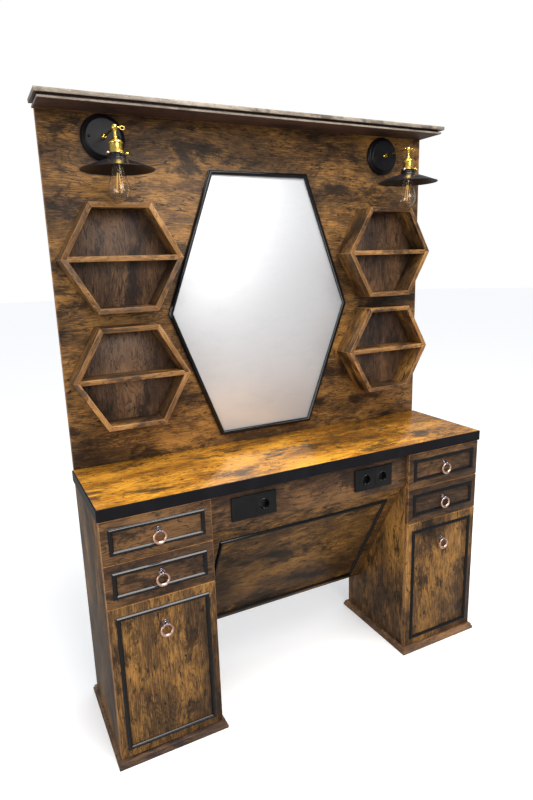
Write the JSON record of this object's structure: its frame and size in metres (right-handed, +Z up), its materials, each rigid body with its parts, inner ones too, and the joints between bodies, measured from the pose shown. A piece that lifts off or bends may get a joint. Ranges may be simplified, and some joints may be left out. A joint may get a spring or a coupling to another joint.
{
  "type": "salon styling station",
  "caption": "Freestanding salon styling station: drawer and door pedestals under a worktop, tall back panel with mirror, hexagonal shelves, wall lamps and cornice.",
  "frame": {"origin": "on the floor, under the middle of the station's overall width and depth", "axes": "+Z up, -Y toward the person at the station (drawers open toward -Y), +X to that person's right, +Y at the wall"},
  "size_m": [1.514, 0.4266, 2.05],
  "materials": {
    "rustic_wood": "satin rustic brown wood-effect laminate with dark cracks and knots",
    "worktop_wood": "glossier golden brown wood-effect laminate",
    "cornice_wood": "satin dark walnut laminate",
    "carcass_board": "matt brown board",
    "black_edging": "satin black edge band",
    "black_moulding": "semi-gloss black half-round moulding",
    "socket_plastic": "matt black",
    "mirror_glass": "silvered glass",
    "chrome": "polished",
    "copper": "polished antique copper",
    "brass": "polished brass",
    "lamp_black": "satin black",
    "bulb_glass": "clear, slightly amber"
  },
  "bodies": {
    "station": {"back_panel": "rustic_wood", "cornice_bed": "cornice_wood", "cornice_top": "cornice_wood", "worktop": "worktop_wood", "worktop_edge_band": "black_edging", "apron": "rustic_wood", "left_socket_unit": "socket_plastic", "right_socket_unit": "socket_plastic", "knee_panel": "rustic_wood", "knee_panel_moulding": "black_moulding", "mirror_frame": "black_moulding", "mirror_glass": "mirror_glass", "left_outer_side": "rustic_wood", "left_inner_side": "rustic_wood", "left_back_board": "carcass_board", "left_plinth": "rustic_wood", "left_lower_hex_shelf": "rustic_wood", "left_upper_hex_shelf": "rustic_wood", "left_lamp_bracket": "lamp_black", "right_outer_side": "rustic_wood", "right_inner_side": "rustic_wood", "right_back_board": "carcass_board", "right_plinth": "rustic_wood", "right_lower_hex_shelf": "rustic_wood", "right_upper_hex_shelf": "rustic_wood", "right_lamp_bracket": "lamp_black"},
    "left_lamp_head": {"left_lamp_holder": "brass", "left_lamp_shade": "lamp_black", "left_lamp_bulb": "bulb_glass"},
    "left_lower_drawer": {"left_lower_drawer_front": "rustic_wood", "left_lower_drawer_moulding": "black_moulding", "left_lower_drawer_pull_post": "chrome", "left_lower_drawer_box": "carcass_board"},
    "left_lower_drawer_ring": {"left_lower_drawer_pull_ring": "copper"},
    "left_upper_drawer": {"left_upper_drawer_front": "rustic_wood", "left_upper_drawer_moulding": "black_moulding", "left_upper_drawer_pull_post": "chrome", "left_upper_drawer_box": "carcass_board"},
    "left_upper_drawer_ring": {"left_upper_drawer_pull_ring": "copper"},
    "left_door": {"left_door_front": "rustic_wood", "left_door_moulding": "black_moulding", "left_door_pull_post": "chrome"},
    "left_door_ring": {"left_door_pull_ring": "copper"},
    "right_lamp_head": {"right_lamp_holder": "brass", "right_lamp_shade": "lamp_black", "right_lamp_bulb": "bulb_glass"},
    "right_lower_drawer": {"right_lower_drawer_front": "rustic_wood", "right_lower_drawer_moulding": "black_moulding", "right_lower_drawer_pull_post": "chrome", "right_lower_drawer_box": "carcass_board"},
    "right_lower_drawer_ring": {"right_lower_drawer_pull_ring": "copper"},
    "right_upper_drawer": {"right_upper_drawer_front": "rustic_wood", "right_upper_drawer_moulding": "black_moulding", "right_upper_drawer_pull_post": "chrome", "right_upper_drawer_box": "carcass_board"},
    "right_upper_drawer_ring": {"right_upper_drawer_pull_ring": "copper"},
    "right_door": {"right_door_front": "rustic_wood", "right_door_moulding": "black_moulding", "right_door_pull_post": "chrome"},
    "right_door_ring": {"right_door_pull_ring": "copper"}
  },
  "joints": [
    {"name": "left_lamp_tilt", "type": "hinge", "parent": "station", "child": "left_lamp_head", "pos_m": [-0.548, 0.03335, 1.95], "axis": [-1, 0, 0], "range_deg": [-10, 60]},
    {"name": "left_lower_drawer_slide", "type": "slide", "parent": "station", "child": "left_lower_drawer", "axis": [0, -1, 0], "range_m": [0, 0.3]},
    {"name": "left_lower_drawer_ring_swing", "type": "hinge", "parent": "left_lower_drawer", "child": "left_lower_drawer_ring", "pos_m": [-0.5715, -0.20715, 0.6385], "axis": [-1, 0, 0], "range_deg": [0, 100]},
    {"name": "left_upper_drawer_slide", "type": "slide", "parent": "station", "child": "left_upper_drawer", "axis": [0, -1, 0], "range_m": [0, 0.3]},
    {"name": "left_upper_drawer_ring_swing", "type": "hinge", "parent": "left_upper_drawer", "child": "left_upper_drawer_ring", "pos_m": [-0.5715, -0.20715, 0.779], "axis": [-1, 0, 0], "range_deg": [0, 100]},
    {"name": "left_door_hinge", "type": "hinge", "parent": "station", "child": "left_door", "pos_m": [-0.745, -0.17465, 0.291], "axis": [0, 0, -1], "range_deg": [0, 105]},
    {"name": "left_door_ring_swing", "type": "hinge", "parent": "left_door", "child": "left_door_ring", "pos_m": [-0.5715, -0.20715, 0.463], "axis": [-1, 0, 0], "range_deg": [0, 100]},
    {"name": "right_lamp_tilt", "type": "hinge", "parent": "station", "child": "right_lamp_head", "pos_m": [0.548, 0.03335, 1.95], "axis": [-1, 0, 0], "range_deg": [-10, 60]},
    {"name": "right_lower_drawer_slide", "type": "slide", "parent": "station", "child": "right_lower_drawer", "axis": [0, -1, 0], "range_m": [0, 0.3]},
    {"name": "right_lower_drawer_ring_swing", "type": "hinge", "parent": "right_lower_drawer", "child": "right_lower_drawer_ring", "pos_m": [0.5715, -0.20715, 0.6385], "axis": [-1, 0, 0], "range_deg": [0, 100]},
    {"name": "right_upper_drawer_slide", "type": "slide", "parent": "station", "child": "right_upper_drawer", "axis": [0, -1, 0], "range_m": [0, 0.3]},
    {"name": "right_upper_drawer_ring_swing", "type": "hinge", "parent": "right_upper_drawer", "child": "right_upper_drawer_ring", "pos_m": [0.5715, -0.20715, 0.779], "axis": [-1, 0, 0], "range_deg": [0, 100]},
    {"name": "right_door_hinge", "type": "hinge", "parent": "station", "child": "right_door", "pos_m": [0.745, -0.17465, 0.291], "axis": [0, 0, 1], "range_deg": [0, 105]},
    {"name": "right_door_ring_swing", "type": "hinge", "parent": "right_door", "child": "right_door_ring", "pos_m": [0.5715, -0.20715, 0.463], "axis": [-1, 0, 0], "range_deg": [0, 100]}
  ]
}
